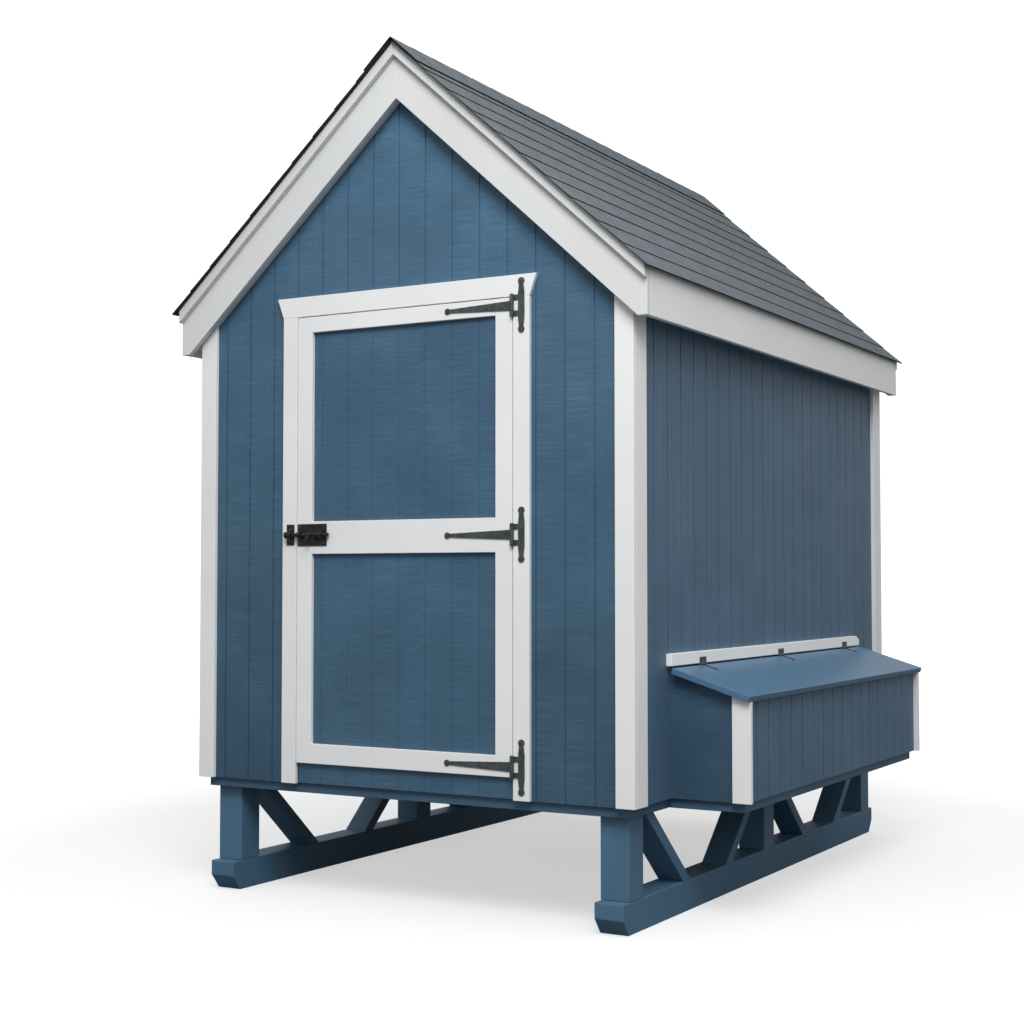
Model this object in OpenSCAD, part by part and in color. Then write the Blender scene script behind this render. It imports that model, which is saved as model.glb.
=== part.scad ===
// Timber chicken coop on two braced skids: hinged front door, a row of nest
// boxes with a lifting lid on the right, and a sliding hen door on the left.
// The front faces -Y and the nest boxes stand out to +X.

/* [House] */
// Width over the side siding
body_w = 1632; // [1440:4:1900]
// Length over the end siding
body_l = 2380; // [2220:10:2860]
// Height of the bottom edge of the siding above the ground
siding_z = 382; // [372:1:420]
// Height of the underside of the eaves above the ground
eave_z = 1839; // [1700:1:2200]
// Slope of the roof in degrees
roof_angle = 42; // [36:1:46]

/* [Siding and trim] */
// Thickness of the grooved siding panels
siding_t = 13; // [10:0.5:18]
// Distance between the siding grooves
groove_pitch = 101.6; // [80:0.1:210]
// Width of a siding groove
groove_w = 5; // [3:0.5:10]
// Depth of a siding groove
groove_d = 3; // [1:0.5:5]
// Sideways shift of the grooves from the centre line
groove_shift = -17; // [-50:1:50]
// Thickness of the trim boards
trim_t = 15; // [12:0.5:20]
// Width of a corner board seen from the end
corner_w = 64; // [50:1:90]
// Width of a corner board seen from the side
corner_side_w = 91; // [60:1:120]

/* [Skids] */
// Width of a skid beam
skid_w = 97; // [80:1:110]
// Height of a skid beam
skid_h = 98; // [80:1:110]
// How far the skids stand in from the side siding
skid_inset = 31; // [20:1:60]
// Height of the cut under each skid end
skid_cut_h = 49; // [20:1:70]
// Length of the cut under each skid end
skid_cut_l = 38; // [20:1:80]
// Distance from a skid end to its first post
post_inset = 42; // [20:1:80]
// Size of a square truss post along the skid
post_d = 97; // [80:1:110]
// Thickness of a diagonal brace
brace_t = 38; // [30:1:45]
// Width of a diagonal brace across the skid
brace_w = 89; // [60:1:97]
// Run of a diagonal brace along the skid
brace_run = 287; // [220:1:340]
// Space between a post and the top of its brace
brace_gap = 11; // [2:1:30]

/* [Framing] */
// Height of the underside of the floor frame above the ground
frame_z = 351; // [330:1:371]
// Thickness of the framing timber
stick_t = 38; // [35:1:45]
// Width of the framing timber
stick_w = 89; // [70:1:95]
// Thickness of the floor deck
deck_t = 16; // [12:1:22]
// Distance from the eaves up to the top of the wall plates
plate_rise = 122; // [105:1:130]

/* [Roof] */
// How far the fascia stands out from the side siding
eave_out = 76; // [60:1:130]
// Length of the level cut at the foot of a rake board
rake_foot = 32; // [20:1:45]
// Thickness of the rake boards and fascias
rake_t = 19; // [15:1:25]
// Thickness of the packing boards behind the rake boards
packer_t = 29; // [20:1:60]
// Height of the shadow boards on the rake boards
shadow_h = 31; // [15:1:40]
// Distance between the underside of the rake and of the rafters
rafter_drop = 30; // [24:1:34]
// How far the ridge board hangs below the rafters' upper ends
ridge_drop = 20; // [0:1:40]
// Thickness of the roof sheathing
sheath_t = 15; // [11:1:19]
// Thickness of a shingle course at its lower edge
shingle_t = 5; // [4:0.5:8]
// Visible height of a shingle course
shingle_step = 117; // [95:1:150]
// Overhang of the shingles beyond the fascias
shingle_eave = 12; // [6:1:45]
// Overhang of the shingles beyond the shadow boards
shingle_rake = 16; // [5:1:40]
// Half width of a ridge cap down the slope
cap_w = 137; // [100:1:180]
// Thickness of a ridge cap
cap_t = 4; // [3:0.5:8]
// Thickness of the soffit boards
soffit_t = 12.5; // [9:0.5:16]
// Height of the soffits above the underside of the eaves
soffit_rise = 24; // [20:1:40]
// How far the packing boards stand back from the underside of the rake boards
packer_lift = 9; // [0:1:15]

/* [Front door] */
// Width of the doorway between the casings
door_w = 834; // [700:2:860]
// Height of the doorway's head above the ground
door_top = 1938; // [1800:1:1941]
// Width of the door casing
casing_w = 58; // [45:1:80]
// Height of the header board over the door
header_h = 67; // [50:1:90]
// How far each end of the header flares outward
header_flare = 24; // [5:1:40]
// Gap round the door
door_gap = 3; // [2:0.5:6]
// Width of the door stiles
stile_w = 60; // [50:1:90]
// Height of the door's middle rail
mid_rail_h = 108; // [60:1:140]
// Height of the middle rail's centre above the ground
mid_rail_z = 1198; // [1000:1:1400]
// Height of the door's top rail
top_rail_h = 52; // [45:1:90]
// Height of the door's bottom rail
bottom_rail_h = 65; // [50:1:90]
// Height of the bare panel below the bottom rail
door_skirt = 70; // [20:1:120]
// Width of a groove in the door's panel
door_groove_w = 2; // [1:0.5:8]
// Depth of a groove in the door's panel
door_groove_d = 1; // [0.5:0.5:4]

/* [Door hinges] */
// Length of a hinge strap from its pin to its end hole
strap_l = 238; // [150:1:320]
// Height of a hinge strap at the pin
strap_h = 31; // [24:1:40]
// Thickness of the hinge plates
hinge_t = 3; // [2:0.5:4]
// Radius of a hinge knuckle
knuckle_r = 6.5; // [6:0.5:9]
// Radius of a hinge pin
pin_r = 3; // [2:0.5:4]
// Height of a hinge's fixed plate
hinge_plate_h = 172; // [120:1:220]

/* [Door latch] */
// Length of the latch plate
latch_l = 117; // [100:1:150]
// Height of the latch plate
latch_h = 73; // [50:1:90]
// Radius of the latch bolt
bolt_r = 7; // [5:0.5:9]
// Travel of the bolt each way from rest
bolt_throw = 20; // [10:1:22]

/* [Nest boxes] */
// Length of the nest boxes over their side siding
nest_l = 1760; // [1200:10:1900]
// Distance of the nest boxes' middle from the house's middle
nest_shift = -31; // [-60:1:60]
// Depth of the nest boxes over their front siding
nest_d = 250; // [220:1:400]
// Number of compartments
nest_count = 5; // [2:1:5]
// Slope of the lid in degrees
lid_angle = 17.3; // [10:0.1:20]
// Thickness of the lid
lid_t = 19; // [15:1:22]
// Overhang of the lid beyond each nest side
lid_side = 38; // [20:1:60]
// Overhang of the lid beyond the nest front
lid_front = 27; // [20:1:60]
// Height of the underside of the hinge board above the ground
lid_board_z = 792; // [770:1:860]
// Distance between the lid hinges
lid_hinge_pitch = 704; // [400:1:800]
// Width of the nest corner boards
nest_trim_w = 61; // [40:1:80]

/* [Hen door and roosts] */
// Width of the hen door's opening
hen_w = 300; // [240:5:360]
// Height of the hen door's opening
hen_h = 360; // [300:5:420]
// Distance of the hen door's middle from the house's middle
hen_y = -680; // [-720:5:-640]
// Number of roost bars
roost_count = 3; // [2:1:4]

/* [Hidden] */
$fn = 48;

blue = "#4a667d";
dark_blue = "#47586a";
white = "#dcdddd";
timber = "#c9a877";
black = "#3a3d3e";
slate = "#6b7075";
steel = "#8f9396";

eps = 0.3;
butt = 0.1;
fit = 0.05;
slack = 0.5;
half_w = body_w / 2;
half_l = body_l / 2;
in_w = half_w - siding_t;
in_l = half_l - siding_t;
deck_z = frame_z + stick_w;
sole_z = deck_z + deck_t;
stud_z = sole_z + stick_t;
plate_top = eave_z + plate_rise;
plate_z = plate_top - stick_t;
bay_w = in_w - stick_w;
bay_l = in_l - stick_w;
skid_x = half_w - skid_inset;
truss_h = frame_z - skid_h;

// Roof: heights are measured square to the slope from the rake's underside.
fascia_x = half_w + eave_out;
foot_x = fascia_x - rake_foot;
apex_z = eave_z + foot_x * tan(roof_angle);
rafter_top = rafter_drop + stick_w - 0.05;
sheath_low = rafter_drop + stick_w;
deck_high = sheath_low + sheath_t;
tail_x = fascia_x - rake_t;
soffit_z = eave_z + soffit_rise;
shingle_x = fascia_x + shingle_eave;
packer_y = half_l + packer_t;
rake_y = packer_y + rake_t;
shadow_y = rake_y + rake_t;
shingle_y = shadow_y + shingle_rake;
slope_top_z = apex_z + deck_high / cos(roof_angle);
shingle_z = slope_top_z + butt;
slope_l = shingle_x / cos(roof_angle);
seat_x = (apex_z + rafter_drop / cos(roof_angle) - plate_top) / tan(roof_angle);
rafter_count = 5;
gable_stud_x = 250;
ridge_t = 19;

// Front door
face_y = -half_l - trim_t;
leaf_w = door_w / 2 - door_gap;
leaf_z = siding_z + door_gap;
leaf_top = door_top - door_gap;
rail_z = siding_z + door_skirt;
jamb_x = door_w / 2 - 22;
hinge_x = door_w / 2;
hinge_y = face_y - knuckle_r - eps;
hinge_heights = [rail_z + bottom_rail_h / 2, mid_rail_z, leaf_top - top_rail_h / 2];
strap_knuckle = strap_h + 1;
plate_knuckle = 17;
hinge_plate_x = hinge_x + 31;
hinge_plate_w = 22;
strap_holes = [94, 45];

// Latch: at rest the bolt's end stands just clear of the keeper.
keeper_w = 30;
keeper_x = -door_w / 2 - 8 - keeper_w;
latch_x = -door_w / 2 + 8;
bolt_y = face_y - hinge_t - bolt_r - 3;
bolt_z = mid_rail_z + 9;
guide_w = 14;
guide_pos = [latch_x + 8, latch_x + latch_l - guide_w - 8];
knob_x = (guide_pos[0] + guide_pos[1] + guide_w) / 2;

// Nest boxes
nest_y0 = nest_shift - nest_l / 2;
nest_y1 = nest_shift + nest_l / 2;
nest_x = half_w + nest_d;
nest_in_x = nest_x - siding_t;
nest_floor_t = 16;
nest_floor_z = siding_z + nest_floor_t;
nest_trim_t = 17;
nest_trim_x = nest_x + trim_t + 4;
divider_t = 12;
nest_in_l = nest_l - 2 * siding_t;
nest_pitch = (nest_in_l + divider_t) / nest_count;
nest_hole_z = stud_z;
nest_hole_top = lid_board_z - 52;
board_t = 19;
board_h = 38;
lid_r = 4;
lid_pin_r = 1.5;
lid_leaf_t = 2;
lid_axis_x = half_w + board_t + lid_r + eps;
lid_axis_z = lid_board_z - 1.3;
lid_drop = lid_r + eps;
lid_leaf_z = lid_axis_z + lid_r + eps;
lid_l = (nest_x + lid_front - lid_axis_x) / cos(lid_angle) - lid_drop * tan(lid_angle);
lid_y0 = nest_y0 - lid_side;
lid_y1 = nest_y1 + lid_side;
lid_hinge_ys = [for (k = [-1:1]) nest_shift + 27 + k * lid_hinge_pitch];
lid_plate_w = 51;
lid_knuckle = 14;

// Hen door: it hangs outside the left siding between two rebated runners.
hen_lap = 20;
hen_door_t = 13;
hen_z = stud_z;
runner_w = 34;
runner_t = 12;
runner_x = half_w + hen_door_t + 2;
hen_leaf_w = hen_w / 2 + hen_lap;

// Roosts
roost_z = 1100;
roost_t = 38;
roost_pitch = 200;

centre_x = (nest_x + lid_front - shingle_x) / 2;

// Height of a line parallel to the roof slope at a distance from the centre.
function roof_z(x, lift) = apex_z + lift / cos(roof_angle) - abs(x) * tan(roof_angle);
// Height of the lid's underside at a distance from the centre.
function lid_under(x) =
    lid_axis_z - (lid_drop + lid_t) / cos(lid_angle) - (x - lid_axis_x) * tan(lid_angle);
// Groove positions between two edges of a panel.
function grooves(from, to, shift) =
    [for (k = [ceil((from + groove_w - shift) / groove_pitch) :
               floor((to - groove_w - shift) / groove_pitch)]) shift + k * groove_pitch];

// Moves the model so that its origin is the middle of its footprint.
module place() {
    translate([-centre_x, 0, 0])
        children();
}

// A timber or plate given by its two corners.
module stick(low, high) {
    translate(low)
        cube(high - low);
}

// A framing timber given by its two corners, short enough to stay apart from the next one.
module beam(low, high) {
    part_gap = [butt, butt, butt] / 2;
    stick(low + part_gap, high - part_gap);
}

// Extrudes an outline drawn in X and Z between two Y values.
module from_front(y0, y1) {
    translate([0, y1, 0])
        rotate([90, 0, 0])
            linear_extrude(y1 - y0)
                children();
}

// Extrudes an outline drawn in Y and Z between two X values.
module from_side(x0, x1) {
    translate([x0, 0, 0])
        rotate([90, 0, 90])
            linear_extrude(x1 - x0)
                children();
}

// Draws its children on both sides of the centre line.
module both_sides() {
    children();
    mirror([1, 0, 0])
        children();
}

// Draws its children at both ends.
module both_ends() {
    children();
    mirror([0, 1, 0])
        children();
}

// A skid beam cut back underneath at both ends.
module skid_beam() {
    from_side(skid_x - skid_w, skid_x)
        polygon([[-half_l, skid_cut_h], [-half_l + skid_cut_l, 0],
                 [half_l - skid_cut_l, 0], [half_l, skid_cut_h],
                 [half_l, skid_h], [-half_l, skid_h]]);
}

post_ys = [-half_l + post_inset, -post_d / 2, half_l - post_inset - post_d];

// The three posts that stand on one skid.
module truss_posts() {
    for (y = post_ys)
        stick([skid_x - skid_w, y, skid_h], [skid_x, y + post_d, frame_z]);
}

// One diagonal that leans from the top of a post down to the skid.
module brace(top_y, way) {
    slant = brace_t / sin(atan(truss_h / brace_run));
    from_side(skid_x - brace_w, skid_x)
        polygon([[top_y, frame_z], [top_y + way * slant, frame_z],
                 [top_y + way * (slant + brace_run), skid_h],
                 [top_y + way * brace_run, skid_h]]);
}

// The four diagonals of one skid, two in each bay.
module truss_braces() {
    for (k = [0:1]) {
        brace(post_ys[k] + post_d + brace_gap, 1);
        brace(post_ys[k + 1] - brace_gap, -1);
    }
}

module skid_left() {
    color(blue) place() mirror([1, 0, 0]) skid_beam();
}

module skid_right() {
    color(blue) place() skid_beam();
}

module truss_posts_left() {
    color(blue) place() mirror([1, 0, 0]) truss_posts();
}

module truss_posts_right() {
    color(blue) place() truss_posts();
}

module truss_braces_left() {
    color(blue) place() mirror([1, 0, 0]) truss_braces();
}

module truss_braces_right() {
    color(blue) place() truss_braces();
}

// Rim joists with three cross joists between them.
module floor_frame() {
    joist_x = in_w - stick_t;
    joist_step = (2 * in_l - stick_t) / 4;
    color(blue) place() {
        both_sides()
            beam([joist_x, -in_l, frame_z], [in_w, in_l, deck_z]);
        for (k = [0:4]) {
            y = -in_l + k * joist_step;
            beam([-joist_x, y, frame_z], [joist_x, y + stick_t, deck_z]);
        }
    }
}

module floor_deck() {
    color(timber) place()
        stick([-in_w, -in_l, deck_z], [in_w, in_l, sole_z]);
}

// Height of the ridge board's lower edge.
ridge_low = apex_z + rafter_drop / cos(roof_angle) - ridge_t / 2 * tan(roof_angle) - ridge_drop;

// A gable stud whose head is cut to the slope of the end rafters.
module gable_stud(x) {
    stud_lift = rafter_drop - butt / 2;
    from_front(-in_l, -in_l + stick_t)
        polygon([[x, plate_top + butt], [x + stick_t, plate_top + butt],
                 [x + stick_t, roof_z(x + stick_t, stud_lift)],
                 [x, roof_z(x, stud_lift)]]);
}

// Corner studs, top plate and gable studs that both end walls share.
module end_wall_common() {
    both_sides() {
        beam([in_w - stick_t, -in_l, stud_z], [in_w, -bay_l, plate_z]);
        gable_stud(gable_stud_x);
    }
    beam([-in_w, -in_l, plate_z], [in_w, -bay_l, plate_top]);
    beam([-stick_t / 2, -in_l, plate_top], [stick_t / 2, -in_l + stick_t, ridge_low]);
}

module front_wall_frame() {
    color(timber) place() {
        end_wall_common();
        both_sides() {
            beam([jamb_x, -in_l, sole_z], [in_w, -bay_l, stud_z]);
            beam([jamb_x, -in_l, stud_z], [jamb_x + stick_t, -bay_l, plate_z]);
        }
    }
}

module rear_wall_frame() {
    color(timber) place() mirror([0, 1, 0]) {
        end_wall_common();
        beam([-in_w, -in_l, sole_z], [in_w, -bay_l, stud_z]);
        beam([-stick_t / 2, -in_l, stud_z], [stick_t / 2, -bay_l, plate_z]);
    }
}

// Sole plate, top plate and end studs of a side wall on the +X side.
module side_wall_common() {
    beam([bay_w, -bay_l, sole_z], [in_w, bay_l, stud_z]);
    beam([bay_w, -bay_l, plate_z], [in_w, bay_l, plate_top]);
    both_ends()
        beam([bay_w, -bay_l, stud_z], [in_w, -bay_l + stick_t, plate_z]);
}

module left_wall_frame() {
    step = (2 * bay_l - stick_t) / 3;
    color(timber) place() mirror([1, 0, 0]) {
        side_wall_common();
        for (k = [1:2])
            beam([bay_w, -bay_l + k * step, stud_z],
                  [in_w, -bay_l + k * step + stick_t, plate_z]);
    }
}

// The right wall has a header over the nest openings, with short studs above.
module right_wall_frame() {
    head_y0 = nest_y0 + siding_t;
    head_y1 = nest_y1 - siding_t;
    step = (head_y1 - head_y0 + stick_t) / 3;
    color(timber) place() {
        side_wall_common();
        beam([bay_w, head_y0 - stick_t, stud_z], [in_w, head_y0, plate_z]);
        beam([bay_w, head_y1, stud_z], [in_w, head_y1 + stick_t, plate_z]);
        beam([in_w - stick_t, head_y0, nest_hole_top],
              [in_w, head_y1, nest_hole_top + stick_w]);
        for (k = [1:2]) {
            y = head_y0 - stick_t + k * step;
            beam([bay_w, y, nest_hole_top + stick_w], [in_w, y + stick_t, plate_z]);
        }
    }
}

// One sheet of end siding between two X values, grooved on its outer face.
module end_sheet(x0, x1, low_z) {
    peak_x = x0 * x1 < 0 ? 0 : x0;
    difference() {
        from_front(-half_l, -in_l)
            polygon([[x0, low_z], [x1, low_z], [x1, roof_z(x1, rafter_top)],
                     [peak_x, roof_z(peak_x, rafter_top)], [x0, roof_z(x0, rafter_top)]]);
        for (x = grooves(max(x0, corner_w - half_w), min(x1, half_w - corner_w), groove_shift))
            stick([x - groove_w / 2, -half_l - 1, low_z - 1],
                  [x + groove_w / 2, -half_l + groove_d, slope_top_z]);
    }
}

// The front has a sheet on each side of the doorway and one over it.
module front_siding() {
    color(blue) place() {
        end_sheet(-half_w, -door_w / 2, siding_z);
        end_sheet(butt - door_w / 2, door_w / 2 - butt, door_top);
        end_sheet(door_w / 2, half_w, siding_z);
    }
}

module rear_siding() {
    color(dark_blue) place() mirror([0, 1, 0])
        end_sheet(-half_w, half_w, siding_z);
}

side_top = roof_z(half_w, rafter_drop) - 3;

// One sheet of side siding on the +X side, grooved on its outer face.
module side_sheet(y0, y1, z0, z1) {
    trim_y = in_l - corner_side_w;
    difference() {
        stick([in_w, y0, z0], [half_w, y1, z1]);
        for (y = grooves(max(y0, -trim_y), min(y1, trim_y), groove_shift))
            stick([half_w - groove_d, y - groove_w / 2, z0 - 1],
                  [half_w + 1, y + groove_w / 2, z1 + 1]);
    }
}

// A side wall in four sheets that leave one rectangular hole.
module side_siding(hole_y0, hole_y1, hole_z0, hole_z1) {
    side_sheet(-in_l, hole_y0, siding_z, side_top);
    side_sheet(hole_y1, in_l, siding_z, side_top);
    side_sheet(hole_y0 + butt, hole_y1 - butt, siding_z, hole_z0);
    side_sheet(hole_y0 + butt, hole_y1 - butt, hole_z1, side_top);
}

module left_siding() {
    color(dark_blue) place() mirror([1, 0, 0])
        side_siding(hen_y - hen_w / 2, hen_y + hen_w / 2, hen_z, hen_z + hen_h);
}

module right_siding() {
    color(dark_blue) place()
        side_siding(nest_y0 + siding_t, nest_y1 - siding_t, nest_hole_z, nest_hole_top);
}

// Corner boards on the end walls, cut to the packing boards' underside.
module end_corner_boards() {
    out_x = half_w + trim_t;
    in_x = out_x - corner_w;
    top_lift = packer_lift - butt / 2;
    color(white) place() both_ends() both_sides()
        from_front(face_y, -half_l)
            polygon([[in_x, siding_z], [out_x, siding_z], [out_x, roof_z(out_x, top_lift)],
                     [in_x, roof_z(in_x, top_lift)]]);
}

module side_corner_boards() {
    color(white) place() both_ends() both_sides()
        stick([half_w, -half_l, siding_z],
              [half_w + trim_t, face_y + corner_side_w, soffit_z]);
}

module door_casing() {
    color(white) place() both_sides()
        stick([door_w / 2, face_y, siding_z], [door_w / 2 + casing_w, -half_l, door_top]);
}

module door_header() {
    low_x = door_w / 2 + casing_w + 1;
    color(white) place()
        from_front(face_y, -half_l)
            polygon([[-low_x, door_top], [low_x, door_top],
                     [low_x + header_flare, door_top + header_h],
                     [-low_x - header_flare, door_top + header_h]]);
}

// Rafter pairs, notched over the wall plates and cut level over the soffits.
module rafters() {
    step = (2 * in_l - stick_t) / (rafter_count - 1);
    level_z = soffit_z + soffit_t;
    level_x = (apex_z + rafter_drop / cos(roof_angle) - level_z) / tan(roof_angle);
    color(timber) place()
        for (k = [0:rafter_count - 1])
            both_sides()
                from_front(-in_l + k * step, -in_l + k * step + stick_t)
                    polygon([[ridge_t / 2, roof_z(ridge_t / 2, rafter_drop)],
                             [ridge_t / 2, roof_z(ridge_t / 2, rafter_top)],
                             [tail_x, roof_z(tail_x, rafter_top)],
                             [tail_x, level_z], [level_x, level_z],
                             [in_w, roof_z(in_w, rafter_drop)],
                             [in_w, plate_top], [seat_x, plate_top]]);
}

module ridge_board() {
    color(timber) place()
        stick([-ridge_t / 2, -in_l, ridge_low],
              [ridge_t / 2, in_l, roof_z(ridge_t / 2, sheath_low)]);
}

// An outline between two lines parallel to the slope, from the ridge to a plumb cut.
module slope_strip(low, high, end_x) {
    polygon([[butt, roof_z(butt, low)], [butt, roof_z(butt, high)],
             [end_x, roof_z(end_x, high)], [end_x, roof_z(end_x, low)]]);
}

module roof_sheathing() {
    color(timber) place() both_sides()
        from_front(-packer_y, packer_y)
            slope_strip(sheath_low, deck_high, tail_x);
}

// One slope of shingles: each course is a wedge that butts the course above it.
module shingle_slope() {
    thin = 1.5;
    count = floor(slope_l / shingle_step);
    translate([0, 0, shingle_z])
        rotate([0, roof_angle, 0])
            for (k = [0:count]) {
                low = slope_l - k * shingle_step;
                high = max(0, low - shingle_step);
                from_front(-shingle_y, shingle_y)
                    polygon([[high, 0], [high, thin], [low, shingle_t], [low, 0]]);
            }
}

module shingles_left() {
    color(slate) place() mirror([1, 0, 0]) shingle_slope();
}

module shingles_right() {
    color(slate) place() shingle_slope();
}

// A row of folded caps along the ridge, laid end to end.
module ridge_caps() {
    count = 20;
    step = 2 * shingle_y / count;
    inner_z = shingle_z + shingle_t / cos(roof_angle);
    outer_z = inner_z + cap_t / cos(roof_angle);
    edge_x = cap_w * cos(roof_angle);
    lean_x = cap_t * sin(roof_angle);
    edge_z = inner_z - edge_x * tan(roof_angle);
    lean_z = cap_t * cos(roof_angle);
    color(slate) place()
        for (k = [0:count - 1])
            from_front(-shingle_y + k * step, -shingle_y + (k + 1) * step)
                polygon([[0, inner_z], [edge_x, edge_z], [edge_x + lean_x, edge_z + lean_z],
                         [0, outer_z], [-edge_x - lean_x, edge_z + lean_z],
                         [-edge_x, edge_z]]);
}

module rake_boards() {
    color(white) place() both_ends() both_sides()
        from_front(-rake_y, -packer_y)
            polygon([[butt, roof_z(butt, 0)], [butt, roof_z(butt, deck_high)],
                     [fascia_x, roof_z(fascia_x, deck_high)],
                     [fascia_x, eave_z], [foot_x, eave_z]]);
}

module rake_shadow_boards() {
    color(white) place() both_ends() both_sides()
        from_front(-shadow_y, -rake_y)
            slope_strip(deck_high - shadow_h, deck_high, fascia_x);
}

// Packing boards that hold the rake boards off the end siding.
module rake_packers() {
    rest_z = eave_z + packer_lift;
    rest_x = (apex_z + packer_lift / cos(roof_angle) - rest_z) / tan(roof_angle);
    color(white) place() both_ends() both_sides()
        from_front(-packer_y, -half_l)
            polygon([[butt, roof_z(butt, packer_lift)], [butt, roof_z(butt, sheath_low)],
                     [tail_x, roof_z(tail_x, sheath_low)],
                     [tail_x, rest_z], [rest_x, rest_z]]);
}

// The fascias cover the rafter tails and the edge of the sheathing.
module eave_fascias() {
    color(white) place() both_sides()
        from_front(-packer_y, packer_y)
            polygon([[tail_x, eave_z], [fascia_x, eave_z],
                     [fascia_x, roof_z(fascia_x, deck_high)],
                     [tail_x, roof_z(tail_x, deck_high)]]);
}

module soffits() {
    color(white) place() both_sides()
        stick([half_w, -half_l, soffit_z], [tail_x, half_l, soffit_z + soffit_t]);
}

// Bearers under the nest boxes, fixed to the floor frame.
module nest_floor_frame() {
    y0 = nest_y0 + siding_t;
    y1 = nest_y1 - siding_t;
    step = (y1 - y0 - stick_t) / (nest_count + 1);
    color(blue) place() {
        beam([nest_in_x - stick_t, y0, frame_z], [nest_in_x, y1, siding_z]);
        for (k = [0:nest_count + 1])
            beam([in_w, y0 + k * step, frame_z],
                  [nest_in_x - stick_t, y0 + k * step + stick_t, siding_z]);
    }
}

module nest_floor() {
    color(timber) place()
        stick([half_w, nest_y0 + siding_t, siding_z],
              [nest_in_x, nest_y1 - siding_t, nest_floor_z]);
}

// Outline of a nest side or divider whose top follows the lid's underside.
module nest_outline(x0, x1, low_z) {
    polygon([[x0, low_z], [x1, low_z], [x1, lid_under(x1) - eps], [x0, lid_under(x0) - eps]]);
}

module nest_sides() {
    color(blue) place() {
        from_front(nest_y0, nest_y0 + siding_t)
            nest_outline(half_w, nest_in_x, siding_z);
        from_front(nest_y1 - siding_t, nest_y1)
            nest_outline(half_w, nest_in_x, siding_z);
    }
}

module nest_front() {
    color(dark_blue) place() difference() {
        from_front(nest_y0, nest_y1)
            nest_outline(nest_in_x, nest_x, siding_z);
        for (y = grooves(nest_y0 + 20, nest_y1 - 20, groove_shift))
            stick([nest_x - groove_d, y - groove_w / 2, siding_z - 1],
                  [nest_x + 1, y + groove_w / 2, lid_board_z]);
    }
}

module nest_corner_boards() {
    color(white) place() {
        from_front(nest_y0 - nest_trim_t, nest_y0)
            nest_outline(nest_trim_x - nest_trim_w, nest_trim_x, siding_z);
        from_front(nest_y1, nest_y1 + nest_trim_t)
            nest_outline(nest_trim_x - nest_trim_w, nest_trim_x, siding_z);
    }
}

// Dividers between the compartments, notched over the lip of the wall.
module nest_dividers() {
    color(timber) place()
        for (k = [1:nest_count - 1]) {
            y = nest_y0 + siding_t - divider_t + k * nest_pitch;
            from_front(y, y + divider_t)
                union() {
                    nest_outline(half_w, nest_in_x, nest_floor_z);
                    translate([in_w, nest_hole_z])
                        square([siding_t + eps, nest_hole_top - nest_hole_z]);
                }
        }
}

// White ledger above the lid, with its rear top corner clipped.
module nest_hinge_board() {
    clip_y = 36;
    clip_z = 15;
    top_z = lid_board_z + board_h;
    color(white) place()
        from_side(half_w, half_w + board_t)
            polygon([[lid_y0, lid_board_z], [lid_y1, lid_board_z], [lid_y1, top_z - clip_z],
                     [lid_y1 - clip_y, top_z], [lid_y0, top_z]]);
}

// A ring along Y about the lid's hinge axis, without its bore.
module lid_knuckle_rod(y, length) {
    translate([lid_axis_x, y, lid_axis_z])
        rotate([-90, 0, 0])
            cylinder(r = lid_r, h = length);
}

module lid_bore(y, length) {
    translate([lid_axis_x, y, lid_axis_z])
        rotate([-90, 0, 0])
            cylinder(r = lid_pin_r + fit, h = length);
}

// Fixed leaves of the three lid hinges, each with two knuckles.
module lid_hinge_plates() {
    color(black) place()
        for (y = lid_hinge_ys)
            difference() {
                union() {
                    stick([half_w + board_t, y - lid_plate_w / 2, lid_leaf_z],
                          [half_w + board_t + lid_leaf_t, y + lid_plate_w / 2, lid_leaf_z + 17]);
                    for (way = [-1, 1]) {
                        start = way > 0 ? lid_knuckle / 2 + eps : -lid_knuckle * 1.5 - eps;
                        lid_knuckle_rod(y + start, lid_knuckle);
                        stick([half_w + board_t, y + start, lid_axis_z],
                              [half_w + board_t + lid_leaf_t, y + start + lid_knuckle,
                               lid_leaf_z + 1]);
                    }
                }
                lid_bore(y - lid_plate_w, 2 * lid_plate_w);
            }
}

module lid_hinge_pins() {
    pin_half = lid_knuckle * 1.5 + 1.5;
    color(steel) place()
        for (y = lid_hinge_ys)
            translate([lid_axis_x, y - pin_half, lid_axis_z])
                rotate([-90, 0, 0])
                    cylinder(r = lid_pin_r, h = 2 * pin_half);
}

// Places its children in the lid's own frame: X runs down the slope from the hinge axis.
module on_lid() {
    translate([lid_axis_x, 0, lid_axis_z])
        rotate([0, lid_angle, 0])
            children();
}

module nest_lid() {
    color(blue) place() on_lid()
        stick([-1.3, lid_y0, -lid_drop - lid_t], [lid_l, lid_y1, -lid_drop]);
}

// Moving straps of the lid hinges, with their screws.
module lid_hinge_straps() {
    strap_end = 52;
    lid_leaf_w = lid_knuckle / 2 - 1;
    color(black) place() {
        for (y = lid_hinge_ys)
            difference() {
                union() {
                    lid_knuckle_rod(y - lid_knuckle / 2, lid_knuckle);
                    on_lid()
                        translate([0, 0, -lid_drop])
                            linear_extrude(lid_leaf_t)
                                polygon([[-1, y - lid_leaf_w], [8, y - lid_leaf_w],
                                         [strap_end, y - 3], [strap_end, y + 3],
                                         [8, y + lid_leaf_w], [-1, y + lid_leaf_w]]);
                }
                lid_bore(y - lid_plate_w, 2 * lid_plate_w);
            }
        on_lid()
            for (y = lid_hinge_ys, x = [16, 44])
                translate([x, y, lid_leaf_t - lid_drop])
                    cylinder(r = 2.5, h = 1);
    }
}

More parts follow.
